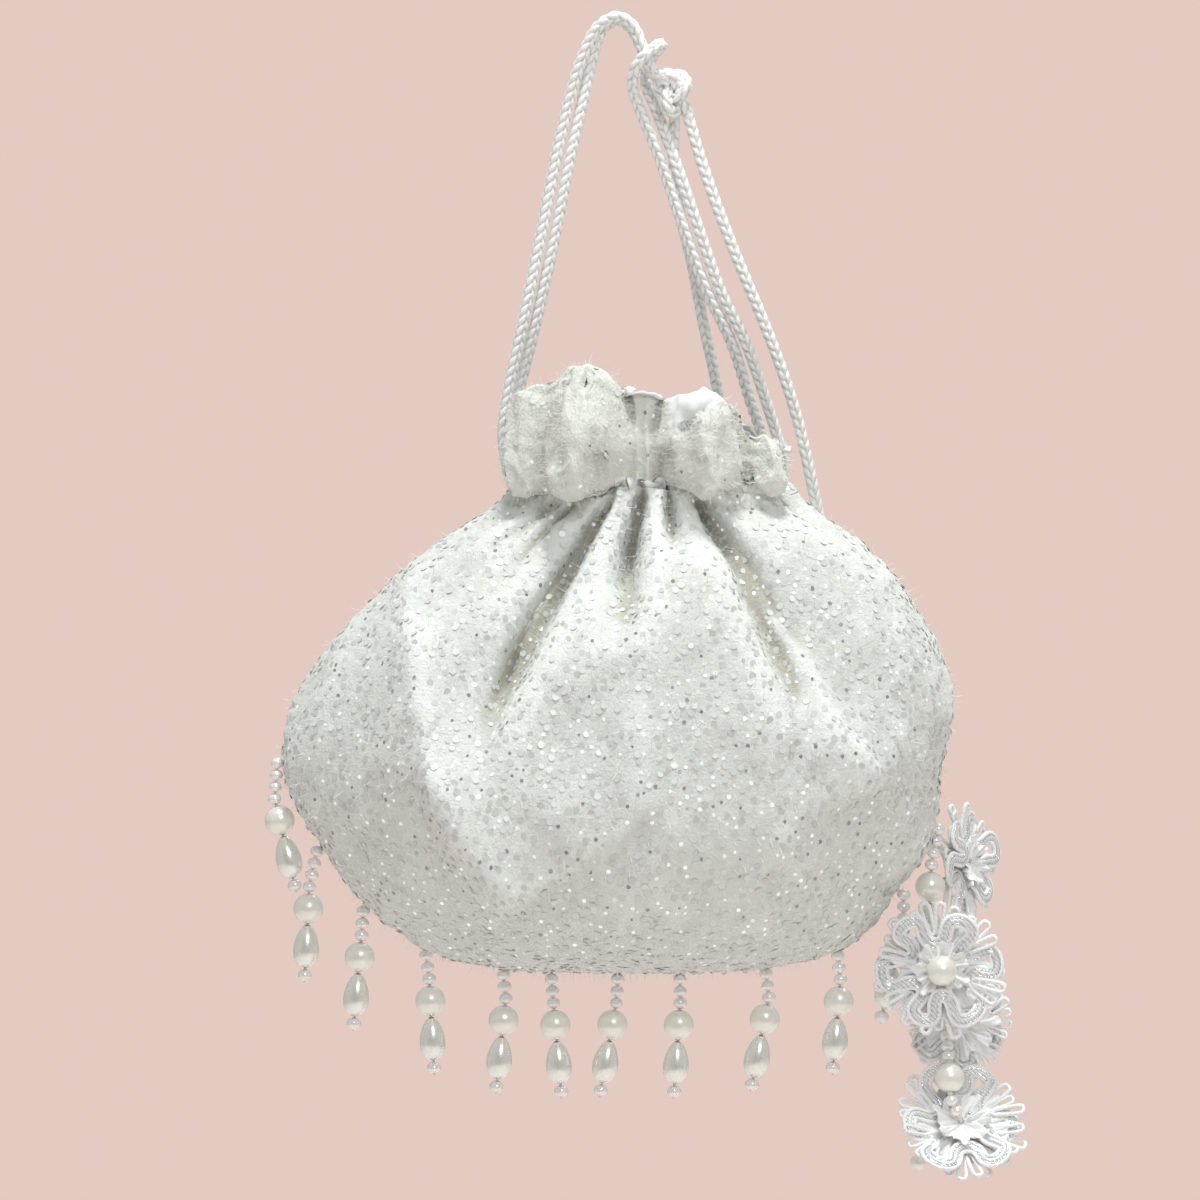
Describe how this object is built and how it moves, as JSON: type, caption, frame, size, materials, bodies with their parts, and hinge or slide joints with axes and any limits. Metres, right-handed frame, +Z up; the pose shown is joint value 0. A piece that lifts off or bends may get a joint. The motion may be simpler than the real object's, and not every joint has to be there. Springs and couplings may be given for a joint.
{
  "type": "drawstring reticule bag",
  "caption": "Small gathered evening bag in white glitter cloth, with plaited drawstrings, pearl tassels along its seam and a hanging ornament of braid rosettes.",
  "frame": {"origin": "under the bend of the handle, where the bag hangs", "axes": "+Z up along the hanging bag, +X to the viewer's right along its width, and the front faces -Y"},
  "size_m": [0.227, 0.0933, 0.347],
  "materials": {
    "cloth": "white cloth under glitter net",
    "silk_cord": "plaited silky cord",
    "pearl": "cream pearl",
    "pearl_drop": "silvery cream pearl",
    "seed_bead": "small translucent pearls on a thread",
    "braid": "soutache braid with a silver thread"
  },
  "bodies": {
    "root": {"bag_shell": "cloth", "cord_a1": "silk_cord", "cord_a2": "silk_cord", "cord_b": "silk_cord", "knot": "silk_cord", "ornament_end": "pearl", "ornament_pearl": "pearl", "ornament_string": "seed_bead", "rosette_1": "braid", "rosette_2": "braid", "rosette_2_pearl": "pearl", "rosette_3": "braid", "rosette_4": "braid", "tail_1": "silk_cord", "tail_2": "silk_cord", "tassel_01_drop": "pearl_drop", "tassel_01_pearl": "pearl", "tassel_01_string": "seed_bead", "tassel_02_drop": "pearl_drop", "tassel_02_pearl": "pearl", "tassel_02_string": "seed_bead", "tassel_03_drop": "pearl_drop", "tassel_03_pearl": "pearl", "tassel_03_string": "seed_bead", "tassel_04_drop": "pearl_drop", "tassel_04_pearl": "pearl", "tassel_04_string": "seed_bead", "tassel_05_drop": "pearl_drop", "tassel_05_pearl": "pearl", "tassel_05_string": "seed_bead", "tassel_06_drop": "pearl_drop", "tassel_06_pearl": "pearl", "tassel_06_string": "seed_bead", "tassel_07_drop": "pearl_drop", "tassel_07_pearl": "pearl", "tassel_07_string": "seed_bead", "tassel_08_drop": "pearl_drop", "tassel_08_pearl": "pearl", "tassel_08_string": "seed_bead", "tassel_09_drop": "pearl_drop", "tassel_09_pearl": "pearl", "tassel_09_string": "seed_bead", "tassel_10_drop": "pearl_drop", "tassel_10_pearl": "pearl", "tassel_10_string": "seed_bead", "tassel_11_drop": "pearl_drop", "tassel_11_pearl": "pearl", "tassel_11_string": "seed_bead", "tassel_12_drop": "pearl_drop", "tassel_12_pearl": "pearl", "tassel_12_string": "seed_bead"}
  },
  "joints": []
}
